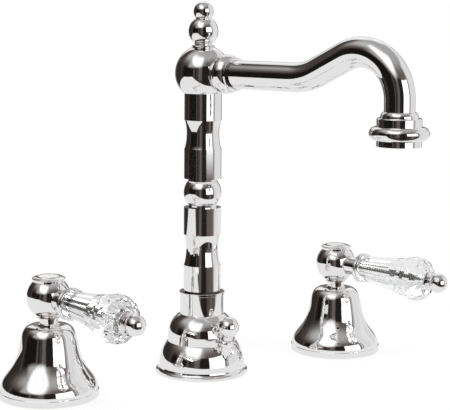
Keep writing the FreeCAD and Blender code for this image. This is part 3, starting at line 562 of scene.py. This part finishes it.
def crystalFinish():
    colours = (crystalUser["tint"], crystalUser["faint"])
    material = newFinish(
        "cut crystal", grain, "Dust", colours, crystalUser["marks"], bumpy=False
    )
    tree = material.node_tree
    glass = tree.nodes["Principled BSDF"]
    glass.inputs["Transmission Weight"].default_value = 1.0
    glass.inputs["IOR"].default_value = crystalUser["ior"]
    depth = addNode(tree, "ShaderNodeLightPath").outputs["Ray Depth"]
    tooDeep = mathNode(tree, "GREATER_THAN", depth, crystalUser["deepest"])
    ended = mixShaders(tree, tooDeep, glass, addNode(tree, "ShaderNodeBsdfTransparent"))
    tree.links.new(ended.outputs[0], tree.nodes["Material Output"].inputs["Surface"])
    return material


finishes = {
    "chrome": chromeFinish("bright chrome", {"Wave Height": 0.03}),
    "cast": chromeFinish("chrome on casting", {"Wave Height": 0.12, "Wave Size": 70.0}),
    "brass": machinedFinish(
        "machined brass", (0.80, 0.62, 0.30, 1), (0.55, 0.40, 0.19, 1), {}
    ),
    "steel": machinedFinish(
        "plated steel", (0.66, 0.66, 0.64, 1), (0.50, 0.50, 0.47, 1), {"Low": 0.28}
    ),
    # Painted shade: the tie rods' steel colour is set far darker than plated steel, standing in for
    # how dark they look inside the crystals
    "rod": machinedFinish(
        "steel rod with painted shade", (0.17, 0.165, 0.16, 1), (0.13, 0.125, 0.12, 1),
        {"Depth": 0.0, "Low": 0.05, "High": 0.12},
    ),
    "black rubber": dullFinish(
        "black rubber", (0.018, 0.018, 0.018, 1), (0.06, 0.06, 0.058, 1),
        {"Low": 0.55, "High": 0.8},
    ),
    "black plastic": dullFinish(
        "black plastic", (0.02, 0.02, 0.021, 1), (0.05, 0.05, 0.05, 1),
        {"Low": 0.3, "High": 0.45},
    ),
    "white ceramic": dullFinish(
        "white ceramic", (0.88, 0.87, 0.83, 1), (0.78, 0.77, 0.73, 1),
        {"Low": 0.12, "High": 0.3},
    ),
    "white enamel": dullFinish(
        "white enamel", (0.93, 0.93, 0.91, 1), (0.86, 0.86, 0.84, 1),
        {"Grain Height": 0.05, "Low": 0.06, "High": 0.14},
    ),
    "clear crystal": crystalFinish(),
}
print("finishes made:", len(finishes))


def finishOf(node):
    # The slot's own finish, but for the polished castings and the tie rods, whose steel colour is
    # darkened as painted shade for how dark they look inside the crystals
    if node in chromeUser["castNodes"]:
        return finishes["cast"]
    if node.endswith("tie_rod"):
        return finishes["rod"]
    return finishes[slotOf[node]]


def dressNodes():
    for node in slotOf:
        mesh = nodes[node].data
        mesh.materials.clear()
        mesh.materials.append(finishOf(node))


dressNodes()
print("CAD nodes dressed")


# Crystals: the CAD facets with their edges polished off a little

def isSharp(edge):
    steep = edge.calc_face_angle(0) > math.radians(crystalUser["edgeAngle"])
    return steep and edge.calc_length() > crystalUser["edgeLength"]


def cutCrystal(side):
    piece = bmesh.new()
    piece.from_mesh(nodes[side + "_crystal"].data)
    bmesh.ops.remove_doubles(piece, verts=piece.verts, dist=crystalUser["merge"])
    bmesh.ops.dissolve_limit(
        piece, angle_limit=math.radians(crystalUser["flat"]),
        verts=piece.verts, edges=piece.edges, use_dissolve_boundaries=False,
    )
    bmesh.ops.bevel(
        piece, geom=[edge for edge in piece.edges if isSharp(edge)],
        offset=crystalUser["edgeWidth"], offset_type="OFFSET", affect="EDGES",
        segments=1, profile=0.5, material=-1, clamp_overlap=True,
    )
    crystal = newPiece(side + "CutCrystal", piece, finishes["clear crystal"])
    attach(crystal, side + "_handle")
    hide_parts(side + "_crystal")


for side in ("hot", "cold"):
    cutCrystal(side)
print("crystals cut")


# Threads: a flat-topped ridge that winds along each threaded length and runs out at its ends

threadUser = {
    "sides": 40,
    "sunk": 0.00003,         # the ridge's foot lies this far inside the rod
    "foot": (0.02, 0.98),    # where the ridge begins and ends, as shares of the pitch
    "crest": (0.36, 0.64),
    "runOut": 0.3,           # turns at each end where the ridge is lowest
    "lowest": 0.05,          # its height there, as a share
    "merge": 1e-7,
}
pipeUser = {
    "pitch": 0.001814,
    "ridge": 0.00030,
    "halfInch": 0.01048,     # radii
    "threeQuarterInch": 0.01322,
    "shank": (-0.0538, 0.004),       # first and last level of the thread under the spout
    "teePort": (0.0146, 0.0309),     # from the spout's middle, towards either valve
    "teePortLevel": -0.07525,
    "valve": 0.1,                    # from the spout's middle to each valve's
    "barrel": (-0.0438, 0.0115),     # first and last level of the threads on each valve
    "tail": (-0.0662, -0.0839),
    "valvePort": (0.0829, 0.0661),   # from the spout's middle, running towards it
    "valvePortLevel": -0.055,
}
rodUser = {
    "pitch": 0.0007,
    "ridge": 0.00022,
    "radius": 0.002,
    "plain": 0.045,          # length without a thread at the hub's end
    "hidden": 0.004,         # and in the end ball
    "endDepth": 0.0006,      # corners this near to the rod's end belong to its rim
}


def runOut(piece, root, pitch):
    # Sinks the ridge towards its root near both ends
    top = max(vertex.co.z for vertex in piece.verts)
    for vertex in piece.verts:
        reach = vertex.co.xy.length
        share = min(vertex.co.z, top - vertex.co.z) / pitch - threadUser["runOut"]
        wanted = root + (reach - root) * min(1.0, max(threadUser["lowest"], share))
        vertex.co.x *= wanted / reach
        vertex.co.y *= wanted / reach


def threadPiece(name, node, body, radius, start, end, kind):
    start = Vector(start)
    end = Vector(end)
    pitch = kind["pitch"]
    turns = int((end - start).length / pitch - 1)
    sides = threadUser["sides"]
    root = radius - threadUser["sunk"]
    crest = radius + kind["ridge"]
    footLow, footHigh = threadUser["foot"]
    crestLow, crestHigh = threadUser["crest"]
    corners = ((root, footLow), (crest, crestLow), (crest, crestHigh), (root, footHigh))
    piece = bmesh.new()
    section = [piece.verts.new((reach, 0, share * pitch)) for reach, share in corners]
    outline = [piece.edges.new(pair) for pair in zip(section, section[1:] + section[:1])]
    bmesh.ops.spin(
        piece, geom=section + outline, cent=(0, 0, 0), axis=(0, 0, 1), dvec=(0, 0, pitch / sides),
        angle=2 * math.pi, steps=sides, use_merge=False, use_duplicate=False,
    )
    oneTurn = piece.verts[:] + piece.edges[:] + piece.faces[:]
    for turn in range(1, turns):
        copied = bmesh.ops.duplicate(piece, geom=oneTurn)["geom"]
        moved = [item for item in copied if isinstance(item, bmesh.types.BMVert)]
        bmesh.ops.translate(piece, verts=moved, vec=(0, 0, turn * pitch))
    bmesh.ops.remove_doubles(piece, verts=piece.verts, dist=threadUser["merge"])
    bmesh.ops.holes_fill(piece, edges=piece.edges, sides=len(section))
    runOut(piece, root, pitch)
    bmesh.ops.recalc_face_normals(piece, faces=piece.faces)
    turned = (end - start).to_track_quat("Z", "Y").to_matrix().to_4x4()
    bmesh.ops.transform(piece, verts=piece.verts, matrix=Matrix.Translation(start) @ turned)
    thread = newPiece(name, piece, finishOf(node))
    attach(thread, body)


def pipeRuns():
    # Node, radius, start and end of each threaded length
    halfInch = pipeUser["halfInch"]
    low, high = pipeUser["shank"]
    runs = [("swivel_housing", halfInch, (0, 0, low), (0, 0, high))]
    level = pipeUser["teePortLevel"]
    inner, outer = pipeUser["teePort"]
    for way in (-1, 1):
        runs.append(("inlet_tee", halfInch, (way * inner, 0, level), (way * outer, 0, level)))
    for side, way in (("hot", -1), ("cold", 1)):
        valve = side + "_valve_body"
        across = way * pipeUser["valve"]
        for radius, (first, last) in (
            (pipeUser["threeQuarterInch"], pipeUser["barrel"]),
            (halfInch, pipeUser["tail"]),
        ):
            runs.append((valve, radius, (across, 0, first), (across, 0, last)))
        level = pipeUser["valvePortLevel"]
        outer, inner = pipeUser["valvePort"]
        runs.append((valve, halfInch, (way * outer, 0, level), (way * inner, 0, level)))
    return runs


def middleOf(node):
    corners = [vertex.co for vertex in nodes[node].data.vertices]
    return sum(corners, Vector()) / len(corners)


def endsOfRod(side):
    # Centres of the tie rod's two ends, with the one at the hub first
    towards = (middleOf(side + "_end_ball") - middleOf(side + "_lever_collar")).normalized()
    corners = [vertex.co for vertex in nodes[side + "_tie_rod"].data.vertices]
    reach = [corner.dot(towards) for corner in corners]
    ends = []
    for limit in (min(reach), max(reach)):
        rim = [
            corner for corner, along in zip(corners, reach)
            if abs(along - limit) < rodUser["endDepth"]
        ]
        ends.append(sum(rim, Vector()) / len(rim))
    return ends


for number, (node, radius, start, end) in enumerate(pipeRuns(), 1):
    threadPiece("pipeThread" + str(number), node, "deck_fixed", radius, start, end, pipeUser)
for side in ("hot", "cold"):
    inner, outer = endsOfRod(side)
    along = (outer - inner).normalized()
    threadPiece(
        side + "RodThread", side + "_tie_rod", side + "_handle", rodUser["radius"],
        inner + along * rodUser["plain"], outer - along * rodUser["hidden"], rodUser,
    )
print("threads wound")
